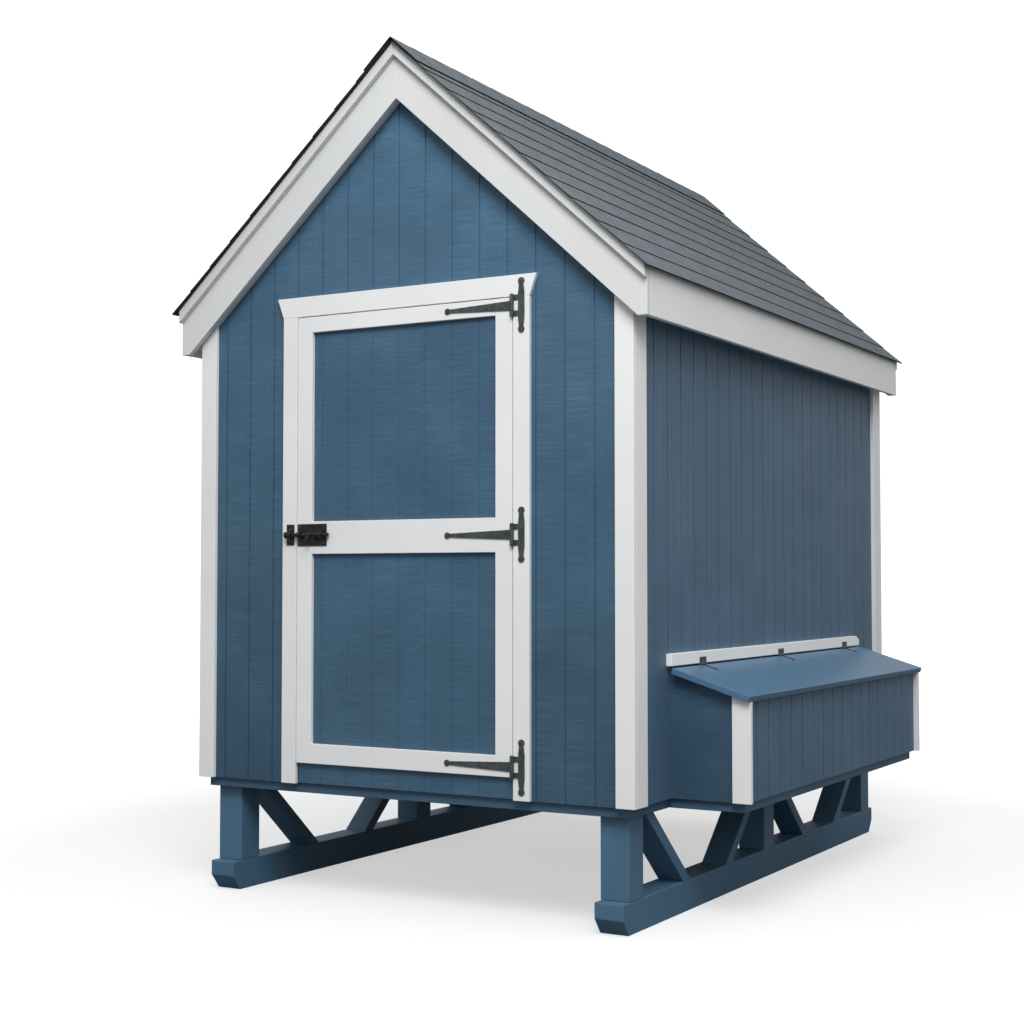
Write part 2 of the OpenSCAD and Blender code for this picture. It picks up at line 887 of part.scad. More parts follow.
module roost_bars() {
    color(timber) place()
        for (k = [0:roost_count - 1]) {
            y = bay_l - 90 - k * roost_pitch;
            stick([-bay_w, y - roost_t / 2, roost_z + stick_w],
                  [bay_w, y + roost_t / 2, roost_z + stick_w + roost_t]);
        }
}

// Ledgers on the side studs that carry the roost bars.
module roost_cleats() {
    back_y = bay_l - 20;
    front_y = bay_l - (2 * bay_l - stick_t) / 3 - stick_t;
    color(timber) place() both_sides()
        stick([bay_w - ridge_t, front_y, roost_z], [bay_w, back_y, roost_z + stick_w]);
}

// A vertical cylinder about the door's hinge axis.
module door_axis_rod(radius, z, height) {
    translate([hinge_x, hinge_y, z])
        cylinder(r = radius, h = height);
}

// Fixed leaf of one door hinge: a long plate with two knuckles on ears.
module hinge_plate(z) {
    end_r = 11;
    end_z = hinge_plate_h / 2 - end_r;
    neck_z = end_z - 12;
    wide_z = end_z / 2;
    half = hinge_plate_w / 2;
    difference() {
        union() {
            from_front(face_y - hinge_t, face_y)
                union() {
                    translate([hinge_plate_x, z])
                        polygon([[-7, -end_z], [7, -end_z], [8, -neck_z], [half, -wide_z],
                                 [half, wide_z], [8, neck_z], [7, end_z], [-7, end_z],
                                 [-8, neck_z], [-half, wide_z], [-half, -wide_z],
                                 [-8, -neck_z]]);
                    for (way = [-1, 1])
                        translate([hinge_plate_x, z + way * end_z])
                            circle(r = end_r);
                }
            for (low = [strap_knuckle / 2 + eps, -strap_knuckle / 2 - eps - plate_knuckle]) {
                door_axis_rod(knuckle_r, z + low, plate_knuckle);
                stick([hinge_x, face_y - hinge_t, z + low],
                      [hinge_plate_x, face_y, z + low + plate_knuckle]);
            }
        }
        door_axis_rod(pin_r + fit, z - hinge_plate_h, 2 * hinge_plate_h);
    }
}

module door_hinge_plates() {
    color(black) place()
        for (z = hinge_heights)
            hinge_plate(z);
}

// Hinge pins with a peened head at each end.
module door_hinge_pins() {
    half = strap_knuckle / 2 + eps + plate_knuckle;
    color(black) place()
        for (z = hinge_heights) {
            door_axis_rod(pin_r, z - half - 0.5, 2 * half + 1);
            door_axis_rod(pin_r + 2, z + half + 0.5, 2);
            door_axis_rod(pin_r + 2, z - half - 2.5, 2);
        }
}

// Moving straps: a long taper that ends in a round eye.
module door_hinge_straps() {
    tip_h = 11;
    color(black) place()
        for (z = hinge_heights)
            difference() {
                union() {
                    from_front(face_y - hinge_t, face_y)
                        union() {
                            polygon([[hinge_x, z - strap_h / 2], [hinge_x, z + strap_h / 2],
                                     [hinge_x - strap_l, z + tip_h / 2],
                                     [hinge_x - strap_l, z - tip_h / 2]]);
                            translate([hinge_x - strap_l, z])
                                circle(r = 10);
                        }
                    door_axis_rod(knuckle_r, z - strap_knuckle / 2, strap_knuckle);
                }
                door_axis_rod(pin_r + fit, z - strap_knuckle, 2 * strap_knuckle);
            }
}

// A panel of siding cut from the doorway, with its grooves in line.
module door_panel() {
    color(blue) place() difference() {
        stick([-leaf_w, -half_l, leaf_z], [leaf_w, -in_l - slack, leaf_top]);
        for (x = grooves(-leaf_w, leaf_w, groove_shift))
            stick([x - door_groove_w / 2, -half_l - 1, leaf_z - 1],
                  [x + door_groove_w / 2, -half_l + door_groove_d, leaf_top + 1]);
    }
}

module door_stiles() {
    color(white) place() both_sides()
        stick([leaf_w - stile_w, face_y, rail_z], [leaf_w, -half_l, leaf_top]);
}

module door_rails() {
    rail_x = leaf_w - stile_w;
    color(white) place() {
        stick([-rail_x, face_y, rail_z], [rail_x, -half_l, rail_z + bottom_rail_h]);
        stick([-rail_x, face_y, mid_rail_z - mid_rail_h / 2],
              [rail_x, -half_l, mid_rail_z + mid_rail_h / 2]);
        stick([-rail_x, face_y, leaf_top - top_rail_h], [rail_x, -half_l, leaf_top]);
    }
}

// A block with a round back that a bolt slides through.
module bolt_guide(x, width, bore) {
    outer = bolt_r + 4;
    difference() {
        from_side(x, x + width)
            union() {
                translate([bolt_y, bolt_z - outer])
                    square([face_y - hinge_t - bolt_y, 2 * outer]);
                translate([bolt_y, bolt_z])
                    circle(r = outer);
            }
        translate([x - 1, bolt_y, bolt_z])
            rotate([0, 90, 0])
                cylinder(r = bore, h = width + 2);
    }
}

module latch_keeper() {
    color(black) place() union() {
        stick([keeper_x, face_y - hinge_t, mid_rail_z - latch_h / 2 + 12],
              [keeper_x + keeper_w, face_y, mid_rail_z + latch_h / 2 + 8]);
        bolt_guide(keeper_x + 2, keeper_w - 4, bolt_r + slack);
    }
}

module latch_plate() {
    color(black) place() union() {
        stick([latch_x, face_y - hinge_t, bolt_z - latch_h / 2],
              [latch_x + latch_l, face_y, bolt_z + latch_h / 2]);
        for (x = guide_pos)
            bolt_guide(x, guide_w, bolt_r + fit);
    }
}

// Round bolt with a knob that turns down over the plate.
module latch_bolt() {
    tip_x = keeper_x + keeper_w + 1;
    end_x = guide_pos[1] + guide_w + bolt_throw + 2;
    knob_l = 24;
    color(black) place() union() {
        translate([tip_x, bolt_y, bolt_z])
            rotate([0, 90, 0])
                cylinder(r = bolt_r, h = end_x - tip_x);
        translate([knob_x, bolt_y, bolt_z])
            rotate([125, 0, 0])
                cylinder(r = 4, h = knob_l);
        translate([knob_x, bolt_y, bolt_z])
            rotate([125, 0, 0])
                translate([0, 0, knob_l])
                    sphere(r = 7);
    }
}

// A domed screw head on a face that looks to -Y.
module screw_head(x, y, z) {
    translate([x, y, z])
        rotate([90, 0, 0])
            cylinder(r = 4, h = 1.5);
}

// Heads of the screws in the fixed hinge leaves and the keeper.
module frame_screws() {
    end_z = hinge_plate_h / 2 - 11;
    plate_y = face_y - hinge_t;
    color(black) place() {
        for (z = hinge_heights, dz = [-end_z, 0, end_z])
            screw_head(hinge_plate_x, plate_y, z + dz);
        for (dz = [-1, 1])
            screw_head(keeper_x + keeper_w / 2, plate_y, bolt_z + dz * 19);
        for (y = lid_hinge_ys, dy = [-16, 16])
            translate([half_w + board_t + lid_leaf_t, y + dy, lid_board_z + 13])
                rotate([0, 90, 0])
                    cylinder(r = 2.5, h = 1);
    }
}

// Heads of the screws in the door's straps and latch plate.
module door_screws() {
    plate_y = face_y - hinge_t;
    color(black) place() {
        for (z = hinge_heights, dx = concat(strap_holes, [strap_l]))
            screw_head(hinge_x - dx, plate_y, z);
        for (dx = [10, latch_l - 10], dz = [-1, 1])
            screw_head(latch_x + dx, plate_y, bolt_z + dz * (latch_h / 2 - 9));
    }
}

// Sliding hen door with a pull knob.
module hen_door() {
    knob_z = hen_z + hen_h - 70;
    color(blue) place() mirror([1, 0, 0]) {
        stick([half_w + 1, hen_y - hen_leaf_w, hen_z - hen_lap + eps],
              [half_w + 1 + hen_door_t, hen_y + hen_leaf_w, hen_z + hen_h + hen_lap]);
        translate([half_w + 1 + hen_door_t, hen_y, knob_z])
            rotate([0, 90, 0])
                cylinder(r = 7, h = 12);
        translate([half_w + 13 + hen_door_t, hen_y, knob_z])
            rotate([0, 90, 0])
                cylinder(r = 14, h = 9);
    }
}

// Rebated runners that hold the hen door against the siding.
module hen_door_runners() {
    low_z = hen_z - hen_lap;
    high_z = hen_z + 2 * hen_h + 2 * hen_lap;
    lap = 12;
    color(white) place() mirror([1, 0, 0])
        for (way = [-1, 1])
            translate([0, hen_y, low_z])
                linear_extrude(high_z - low_z)
                    polygon([[half_w, way * (hen_leaf_w + 1)],
                             [runner_x, way * (hen_leaf_w + 1)],
                             [runner_x, way * (hen_leaf_w + 1 - lap)],
                             [runner_x + runner_t, way * (hen_leaf_w + 1 - lap)],
                             [runner_x + runner_t, way * (hen_leaf_w + 1 + runner_w - lap)],
                             [half_w, way * (hen_leaf_w + 1 + runner_w - lap)]]);
}

// Sill that the hen door rests on.
module hen_door_sill() {
    reach = hen_leaf_w + 1 + runner_w - 12;
    color(white) place() mirror([1, 0, 0])
        stick([half_w, hen_y - reach, hen_z - hen_lap - 25],
              [runner_x + runner_t + 6, hen_y + reach, hen_z - hen_lap]);
}

skid_left();
skid_right();
truss_posts_left();
truss_posts_right();
truss_braces_left();
truss_braces_right();
floor_frame();
floor_deck();
front_wall_frame();
rear_wall_frame();
left_wall_frame();
right_wall_frame();
front_siding();
rear_siding();
left_siding();
right_siding();
end_corner_boards();
side_corner_boards();
door_casing();
door_header();
rafters();
ridge_board();
roof_sheathing();
shingles_left();
shingles_right();
ridge_caps();
rake_boards();
rake_shadow_boards();
rake_packers();
eave_fascias();
soffits();
nest_floor_frame();
nest_floor();
nest_sides();
nest_front();
nest_corner_boards();
nest_dividers();
nest_hinge_board();
lid_hinge_plates();
lid_hinge_pins();
nest_lid();
lid_hinge_straps();
roost_bars();
roost_cleats();
door_hinge_plates();
door_hinge_pins();
latch_keeper();
frame_screws();
door_panel();
door_stiles();
door_rails();
door_hinge_straps();
latch_plate();
door_screws();
latch_bolt();
hen_door();
hen_door_runners();
hen_door_sill();
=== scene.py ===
import math
import random

import bmesh
import bpy
import numpy as np
from mathutils import Matrix, Vector


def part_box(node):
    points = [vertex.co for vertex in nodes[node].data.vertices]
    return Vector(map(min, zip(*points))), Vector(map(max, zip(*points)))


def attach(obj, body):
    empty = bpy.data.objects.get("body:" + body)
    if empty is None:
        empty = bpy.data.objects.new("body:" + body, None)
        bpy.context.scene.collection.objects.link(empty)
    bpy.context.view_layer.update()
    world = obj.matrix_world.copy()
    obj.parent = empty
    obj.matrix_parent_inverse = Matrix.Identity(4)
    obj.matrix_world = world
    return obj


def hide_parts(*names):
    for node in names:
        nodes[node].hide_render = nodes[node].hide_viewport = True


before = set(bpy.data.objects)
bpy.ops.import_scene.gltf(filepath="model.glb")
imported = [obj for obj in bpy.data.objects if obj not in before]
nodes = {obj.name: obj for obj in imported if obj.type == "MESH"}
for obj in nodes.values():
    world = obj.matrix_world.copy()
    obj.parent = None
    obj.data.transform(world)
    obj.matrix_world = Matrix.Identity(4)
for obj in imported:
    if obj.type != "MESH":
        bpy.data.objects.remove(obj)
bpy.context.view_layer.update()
random.seed(11)


# --- Studio ---------------------------------------------------------------
# A pale floor that runs off to white, an even white sky, one wide soft lamp
# high in front of the door and a faint broad light from above. The camera
# stands low off the right corner.
def linear(hex_code):
    parts = [int(hex_code[k:k + 2], 16) / 255 for k in (1, 3, 5)]
    return tuple(c / 12.92 if c < 0.04045 else ((c + 0.055) / 1.055) ** 2.4 for c in parts) + (1.0,)


def add_node(tree, kind, settings=None, links=None):
    node = tree.nodes.new(kind)
    for name, value in (settings or {}).items():
        if isinstance(name, str) and hasattr(node, name):
            setattr(node, name, value)
        else:
            node.inputs[name].default_value = value
    for name, source in (links or {}).items():
        tree.links.new(source, node.inputs[name])
    return node


def new_material(name):
    material = bpy.data.materials.new(name)
    material.use_nodes = True
    material.node_tree.nodes.clear()
    return material, material.node_tree


scene = bpy.context.scene
scene.view_settings.view_transform = "Standard"

floor_radius = 60
floor_drop = 0.0005
glow_from, glow_to = 2.2, 6.0
near_glow, far_glow = 0.56, 1.05
floor_mesh = bpy.data.meshes.new("studio_floor")
bm = bmesh.new()
bmesh.ops.create_circle(bm, cap_ends=True, segments=96, radius=floor_radius)
bm.to_mesh(floor_mesh)
bm.free()
studio_floor = bpy.data.objects.new("studio_floor", floor_mesh)
scene.collection.objects.link(studio_floor)
studio_floor.location = (0, 0, -floor_drop)
# white paper lit from below, so that shadows on it stay pale; it throws less
# light back on the coop than it shows to the camera
studio_paper, tree = new_material("backlit_white_studio_paper")
paper = add_node(tree, "ShaderNodeBsdfDiffuse", {"Color": linear("#b0b0b0")})
# the light below it grows with the distance, so that the floor runs off to white
spot = add_node(tree, "ShaderNodeTexCoord")
reach = add_node(tree, "ShaderNodeVectorMath", {"operation": "LENGTH"}, {0: spot.outputs["Object"]})
rise = add_node(tree, "ShaderNodeMapRange",
                {"From Min": glow_from, "From Max": glow_to,
                 "To Min": near_glow, "To Max": far_glow},
                {"Value": reach.outputs["Value"]})
glow = add_node(tree, "ShaderNodeEmission", {"Color": (1.0, 1.0, 1.0, 1.0)},
                {"Strength": rise.outputs["Result"]})
lit_paper = add_node(tree, "ShaderNodeAddShader", None, {0: paper.outputs[0], 1: glow.outputs[0]})
dim_paper = add_node(tree, "ShaderNodeBsdfDiffuse", {"Color": linear("#747474")})
seen = add_node(tree, "ShaderNodeLightPath")
floor_look = add_node(tree, "ShaderNodeMixShader", None,
                      {0: seen.outputs["Is Camera Ray"],
                       1: dim_paper.outputs[0], 2: lit_paper.outputs[0]})
add_node(tree, "ShaderNodeOutputMaterial", None, {"Surface": floor_look.outputs[0]})
floor_mesh.materials.append(studio_paper)

world = bpy.data.worlds.new("soft_white_room")
scene.world = world
world.use_nodes = True
tree = world.node_tree
tree.nodes.clear()
room = add_node(tree, "ShaderNodeBackground", {"Color": (0.99, 0.995, 1.0, 1.0), "Strength": 0.55})
backdrop = add_node(tree, "ShaderNodeBackground", {"Color": (1.0, 1.0, 1.0, 1.0), "Strength": 1.2})
seen = add_node(tree, "ShaderNodeLightPath")
both = add_node(tree, "ShaderNodeMixShader", None,
                {0: seen.outputs["Is Camera Ray"], 1: room.outputs[0],
                 2: backdrop.outputs[0]})
add_node(tree, "ShaderNodeOutputWorld", None, {"Surface": both.outputs[0]})

door_middle = Vector((0.1, -1.2, 1.4))
soft_box = bpy.data.lights.new("front_soft_box", "AREA")
soft_box.shape = "DISK"
soft_box.size = 3.0
soft_box.energy = 250
lamp = bpy.data.objects.new("front_soft_box", soft_box)
scene.collection.objects.link(lamp)
lamp.location = (2.3, -4.6, 5.2)
lamp.rotation_euler = (Vector(lamp.location) - door_middle).to_track_quat("Z", "Y").to_euler()
ceiling = bpy.data.lights.new("ceiling_panel", "SUN")
ceiling.energy = 0.7
ceiling.angle = math.radians(100)
lamp = bpy.data.objects.new("ceiling_panel", ceiling)
scene.collection.objects.link(lamp)
lamp.rotation_euler = Vector((0.25, -0.1, 1.0)).to_track_quat("Z", "Y").to_euler()

camera_data = bpy.data.cameras.new("corner_view")
camera_data.lens = 57.42
camera_data.sensor_width = 36
camera_data.clip_end = 300
camera = bpy.data.objects.new("corner_view", camera_data)
scene.collection.objects.link(camera)
camera.location = (2.8336, -5.5725, 1.0648)
camera.rotation_euler = (math.radians(92.309), 0, math.radians(29.925))
scene.camera = camera


# --- Skids and their trusses ----------------------------------------------
# Two long beams cut back underneath at the ends, with posts and diagonals,
# all square softwood with eased edges, brush-painted slate blue.
def eased_boards(name, cad_name, edge, material, body="house"):
    """New piece: the CAD boards with eased edges, and each board's own grain directions."""
    weld_gap = 0.00002
    flat_angle = math.radians(0.6)
    sharp_angle = 0.35
    grain_spread = 40
    bm = bmesh.new()
    bm.from_mesh(nodes[cad_name].data)
    bmesh.ops.remove_doubles(bm, verts=bm.verts, dist=weld_gap)
    bmesh.ops.dissolve_limit(bm, angle_limit=flat_angle, verts=bm.verts, edges=bm.edges)
    if edge:
        sharp = [e for e in bm.edges
                 if len(e.link_faces) == 2 and e.calc_face_angle(0) > sharp_angle]
        bmesh.ops.bevel(bm, geom=sharp, offset=edge, segments=2, profile=0.5, affect="EDGES",
                        material=-1, clamp_overlap=True)
    mesh = bpy.data.meshes.new(name)
    along = bm.verts.layers.float_vector.new("grain")
    bm.verts.index_update()
    todo = set(bm.verts)
    # boards are taken in the order of their vertices, so that each run gives the same grain
    for first in bm.verts:
        if first not in todo:
            continue
        todo.remove(first)
        board = [first]
        reach = [first]
        while reach:
            vertex = reach.pop()
            for e in vertex.link_edges:
                other = e.other_vert(vertex)
                if other in todo:
                    todo.remove(other)
                    board.append(other)
                    reach.append(other)
        board.sort(key=lambda v: v.index)
        points = np.array([v.co for v in board])
        middle = points.mean(axis=0)
        axes = np.linalg.eigh(np.cov((points - middle).T))[1]
        shift = np.array([random.uniform(-grain_spread, grain_spread) for _ in range(3)])
        for vertex in board:
            placed = (np.array(vertex.co) - middle) @ axes[:, ::-1] + shift
            vertex[along] = Vector(placed)
    bm.to_mesh(mesh)
    bm.free()
    mesh.materials.append(material)
    piece = bpy.data.objects.new(name, mesh)
    scene.collection.objects.link(piece)
    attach(piece, body)
    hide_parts(cad_name)
    return piece


def painted_board(name, hex_code, dark_code, stroke_depth, roughness):
    """Brushed exterior paint: faint strokes along the board, in tone and in height."""
    material, tree = new_material(name)
    grain = add_node(tree, "ShaderNodeAttribute", {"attribute_name": "grain"})
    # strokes about 4 mm wide and 200 mm long
    stretched = add_node(tree, "ShaderNodeMapping", {"Scale": (5.0, 240.0, 240.0)},
                         {0: grain.outputs["Vector"]})
    strokes = add_node(tree, "ShaderNodeTexNoise", {"Scale": 1.0, "Detail": 3.0, "Roughness": 0.6},
                       {"Vector": stretched.outputs[0]})
    # long cloudy change of tone from one board to the next, 400 mm
    clouds = add_node(tree, "ShaderNodeTexNoise", {"Scale": 2.5, "Detail": 2.0},
                      {"Vector": grain.outputs["Vector"]})
    total = add_node(tree, "ShaderNodeMath", {"operation": "MULTIPLY_ADD", 1: 0.45},
                     {0: strokes.outputs[0], 2: clouds.outputs[0]})
    tone = add_node(tree, "ShaderNodeValToRGB", None, {0: total.outputs[0]})
    tone.color_ramp.elements[0].position = 0.5
    tone.color_ramp.elements[0].color = linear(dark_code)
    tone.color_ramp.elements[1].position = 0.9
    tone.color_ramp.elements[1].color = linear(hex_code)
    bump = add_node(tree, "ShaderNodeBump", {"Strength": 0.6, "Distance": stroke_depth},
                    {"Height": strokes.outputs[0]})
    shader = add_node(tree, "ShaderNodeBsdfPrincipled",
                      {"Roughness": roughness, "Specular IOR Level": 0.35},
                      {"Base Color": tone.outputs[0], "Normal": bump.outputs[0]})
    add_node(tree, "ShaderNodeOutputMaterial", None, {"Surface": shader.outputs[0]})
    return material


# satin slate blue exterior acrylic on planed timber
blue_timber_paint = painted_board("blue_acrylic_on_planed_timber",
                                  "#426179", "#3c5a72", 0.0005, 0.5)
# painted light: the skids and trusses get a paler copy of the timber paint, standing for the light
# thrown up from the floor
skid_paint_with_painted_floor_light = painted_board("blue_acrylic_on_skids_painted_floor_light", "#4c708b", "#466983", 0.0005, 0.5)
eased_boards("left_skid_beam", "skid_left", 0.003, skid_paint_with_painted_floor_light)
eased_boards("right_skid_beam", "skid_right", 0.003, skid_paint_with_painted_floor_light)
eased_boards("left_truss_uprights", "truss_posts_left", 0.0025, skid_paint_with_painted_floor_light)
eased_boards("right_truss_uprights", "truss_posts_right", 0.0025, skid_paint_with_painted_floor_light)
eased_boards("left_truss_diagonals", "truss_braces_left", 0.002, skid_paint_with_painted_floor_light)
eased_boards("right_truss_diagonals", "truss_braces_right", 0.002, skid_paint_with_painted_floor_light)

# --- Floor frame and deck -------------------------------------------------
# Joists on edge nailed inside two rim joists, brush-painted slate blue. The
# plywood deck on them is bare inside the house.
eased_boards("floor_joists", "floor_frame", 0.002, blue_timber_paint)


def bare_softwood(name, hex_code, dark_code, ring_width):
    """Sawn spruce: long brown rings, darker where the late wood stands, dull and dry."""
    material, tree = new_material(name)
    grain = add_node(tree, "ShaderNodeAttribute", {"attribute_name": "grain"})
    # rings the given width apart, drawn out along the board
    drawn_out = 40
    stretched = add_node(tree, "ShaderNodeMapping",
                         {"Scale": (0.5 / ring_width / drawn_out, 0.5 / ring_width,
                                    0.5 / ring_width)},
                         {0: grain.outputs["Vector"]})
    rings = add_node(tree, "ShaderNodeTexNoise",
                     {"Scale": 1.0, "Detail": 4.0, "Roughness": 0.55, "Distortion": 0.6},
                     {"Vector": stretched.outputs[0]})
    clouds = add_node(tree, "ShaderNodeTexNoise", {"Scale": 1.7, "Detail": 2.0},
                      {"Vector": grain.outputs["Vector"]})
    total = add_node(tree, "ShaderNodeMath", {"operation": "MULTIPLY_ADD", 1: 0.6},
                     {0: rings.outputs[0], 2: clouds.outputs[0]})
    tone = add_node(tree, "ShaderNodeValToRGB", None, {0: total.outputs[0]})
    tone.color_ramp.elements[0].position = 0.62
    tone.color_ramp.elements[0].color = linear(dark_code)
    tone.color_ramp.elements[1].position = 0.95
    tone.color_ramp.elements[1].color = linear(hex_code)
    bump = add_node(tree, "ShaderNodeBump", {"Strength": 0.5, "Distance": 0.0006},
                    {"Height": rings.outputs[0]})
    shader = add_node(tree, "ShaderNodeBsdfPrincipled",
                      {"Roughness": 0.72, "Specular IOR Level": 0.3},
                      {"Base Color": tone.outputs[0], "Normal": bump.outputs[0]})
    add_node(tree, "ShaderNodeOutputMaterial", None, {"Surface": shader.outputs[0]})
    return material


spruce = bare_softwood("sawn_spruce", "#d9bd92", "#b98f5e", 0.004)
plywood = bare_softwood("rotary_cut_plywood", "#cfae7d", "#a97f4f", 0.012)
eased_boards("plywood_deck", "floor_deck", 0.0, plywood)

# --- Wall frames ----------------------------------------------------------
# Plates, studs and short gable studs of planed softwood, nailed together
# inside the siding and left bare.
eased_boards("front_studs", "front_wall_frame", 0.002, spruce)
eased_boards("rear_studs", "rear_wall_frame", 0.002, spruce)
eased_boards("left_studs", "left_wall_frame", 0.002, spruce)
eased_boards("right_studs", "right_wall_frame", 0.002, spruce)


# --- Siding ---------------------------------------------------------------
# Grooved wood siding sheets, pressed with a cross-brushed grain and rolled
# with satin slate blue paint. The pressed marks run level, board by board.
# Only the face is painted: the back of each sheet is bare ply inside the house, but the nest sides
# are blue on both faces.
def brushed_siding(name, hex_code, dark_code, pale_code, level, streak, rise, outward):
    """level and streak weigh the level marks and the upright streaks in the tone."""
    board_w = 0.1016
    board_slip = 0.37
    even_height = 1.35
    material, tree = new_material(name)
    place = add_node(tree, "ShaderNodeTexCoord")
    parts = add_node(tree, "ShaderNodeSeparateXYZ", None, {0: place.outputs["Object"]})
    across = add_node(tree, "ShaderNodeMath", {"operation": "ADD"},
                      {0: parts.outputs[0], 1: parts.outputs[1]})
    # one number for each board between two grooves, which shifts its marks up or down
    board = add_node(tree, "ShaderNodeMath", {"operation": "DIVIDE", 1: board_w},
                     {0: across.outputs[0]})
    board_number = add_node(tree, "ShaderNodeMath", {"operation": "FLOOR"}, {0: board.outputs[0]})
    board_shift = add_node(tree, "ShaderNodeMath", {"operation": "MULTIPLY", 1: board_slip},
                           {0: board_number.outputs[0]})
    height = add_node(tree, "ShaderNodeMath", {"operation": "ADD"},
                      {0: parts.outputs[2], 1: board_shift.outputs[0]})
    spot = add_node(tree, "ShaderNodeCombineXYZ", None,
                    {0: across.outputs[0], 1: board_number.outputs[0],
                     2: height.outputs[0]})
    # level pressed marks, about 120 mm long and 6 mm high
    mark_map = add_node(tree, "ShaderNodeMapping", {"Scale": (7.0, 1.0, 150.0)},
                        {0: spot.outputs[0]})
    marks = add_node(tree, "ShaderNodeTexNoise", {"Scale": 1.0, "Detail": 3.0, "Roughness": 0.6},
                     {"Vector": mark_map.outputs[0]})
    # upright streaks of the roller, about 14 mm wide and 700 mm long
    streak_map = add_node(tree, "ShaderNodeMapping", {"Scale": (70.0, 1.0, 1.4)},
                          {0: spot.outputs[0]})
    streaks = add_node(tree, "ShaderNodeTexNoise", {"Scale": 1.0, "Detail": 3.0, "Roughness": 0.55},
                       {"Vector": streak_map.outputs[0]})
    # slow change of tone over 300 mm
    patches = add_node(tree, "ShaderNodeTexNoise", {"Scale": 3.4, "Detail": 2.0},
                       {"Vector": place.outputs["Object"]})
    tones = add_node(tree, "ShaderNodeMath",
                     {"operation": "MULTIPLY_ADD", 1: level, 2: -0.5 * (level + streak) - 0.1},
                     {0: marks.outputs[0]})
    tones = add_node(tree, "ShaderNodeMath", {"operation": "MULTIPLY_ADD", 1: streak},
                     {0: streaks.outputs[0], 2: tones.outputs[0]})
    tones = add_node(tree, "ShaderNodeMath", {"operation": "MULTIPLY_ADD", 1: 1.2},
                     {0: patches.outputs[0], 2: tones.outputs[0]})
    tone = add_node(tree, "ShaderNodeValToRGB", None, {0: tones.outputs[0]})
    tone.color_ramp.elements[0].position = 0.0
    tone.color_ramp.elements[0].color = linear(dark_code)
    tone.color_ramp.elements[1].position = 1.0
    tone.color_ramp.elements[1].color = linear(pale_code)
    middle = tone.color_ramp.elements.new(0.5)
    middle.color = linear(hex_code)
    # painted light: the colour is made paler under the gable than low down, by this share of its
    # tone in a metre, standing for the light from above
    painted_light_by_height = add_node(tree, "ShaderNodeMath",
                    {"operation": "MULTIPLY_ADD", 1: rise, 2: 1 - even_height * rise},
                    {0: parts.outputs[2]})
    colour = add_node(tree, "ShaderNodeVectorMath", {"operation": "SCALE"},
                      {0: tone.outputs[0], 3: painted_light_by_height.outputs[0]})
    if outward:
        bare = add_node(tree, "ShaderNodeValToRGB", None, {0: streaks.outputs[0]})
        bare.color_ramp.elements[0].position = 0.3
        bare.color_ramp.elements[0].color = linear("#b0875a")
        bare.color_ramp.elements[1].position = 0.7
        bare.color_ramp.elements[1].color = linear("#cfae7d")
        facing = add_node(tree, "ShaderNodeVectorMath", {"operation": "DOT_PRODUCT", 1: outward},
                          {0: place.outputs["Normal"]})
        back = add_node(tree, "ShaderNodeMath", {"operation": "LESS_THAN", 1: -0.5},
                        {0: facing.outputs["Value"]})
        colour = add_node(tree, "ShaderNodeMix", {"data_type": "RGBA"},
                          {0: back.outputs[0], 6: colour.outputs[0], 7: bare.outputs[0]})
    bump = add_node(tree, "ShaderNodeBump", {"Strength": 0.5, "Distance": 0.0008},
                    {"Height": marks.outputs[0]})
    painted = colour.outputs[2] if outward else colour.outputs[0]
    shader = add_node(tree, "ShaderNodeBsdfPrincipled",
                      {"Roughness": 0.5, "Specular IOR Level": 0.35},
                      {"Base Color": painted, "Normal": bump.outputs[0]})
    add_node(tree, "ShaderNodeOutputMaterial", None, {"Surface": shader.outputs[0]})
    return material


def coat_node(node_name, material):
    """A CAD node's mesh stays as it is and takes one material."""
    nodes[node_name].data.materials.clear()
    nodes[node_name].data.materials.append(material)


# the ends and the door show their level marks, the long sides the roller's upright streaks; the
# long sides and the nest front get a paler, greyer copy of the end paint, which is painted sheen
# and painted light
end_paint = ("#3f5f77", "#36556c", "#4a6b84", 1.6, 0.3)
side_paint_with_painted_sheen = ("#4a677e", "#425e74", "#547087", 0.6, 1.3)
# rise is painted light: it makes the end sheets and the nest sides paler higher up
for node_name, name, paint, rise, outward in (
        ("front_siding", "blue_acrylic_on_front_siding", end_paint, 0.22, (0, -1, 0)),
        ("rear_siding", "blue_acrylic_on_rear_siding", end_paint, 0.22, (0, 1, 0)),
        ("door_panel", "blue_acrylic_on_door_panel", end_paint, 0.0, (0, -1, 0)),
        ("nest_sides", "blue_acrylic_on_nest_sides", end_paint, 0.32, None),
        ("left_siding", "blue_acrylic_rolled_on_left_siding_painted_sheen", side_paint_with_painted_sheen, 0.0, (-1, 0, 0)),
        ("right_siding", "blue_acrylic_rolled_on_right_siding_painted_sheen", side_paint_with_painted_sheen, 0.0, (1, 0, 0)),
        ("nest_front", "blue_acrylic_rolled_on_nest_front_painted_sheen", side_paint_with_painted_sheen, 0.0, (1, 0, 0))):
    coat_node(node_name, brushed_siding(name, *paint, rise, outward))

# --- Corner boards, door casing and header --------------------------------
# Primed softwood trim with eased edges, brush-painted satin white.
white_trim_paint = painted_board("white_acrylic_on_primed_trim",
                                 "#eceded", "#e6e7e8", 0.00025, 0.42)
eased_boards("end_corner_trim", "end_corner_boards", 0.0015, white_trim_paint)
eased_boards("side_corner_trim", "side_corner_boards", 0.0015, white_trim_paint)
eased_boards("door_side_casing", "door_casing", 0.0015, white_trim_paint)
eased_boards("door_head_board", "door_header", 0.0015, white_trim_paint)

# --- Roof frame -----------------------------------------------------------
# Rafter pairs cut to the ridge board and notched over the plates, with
# plywood sheathing laid over them. All of it is bare.
eased_boards("rafter_pairs", "rafters", 0.002, spruce)
eased_boards("ridge_beam", "ridge_board", 0.0015, spruce)
eased_boards("roof_boarding", "roof_sheathing", 0.0, plywood)
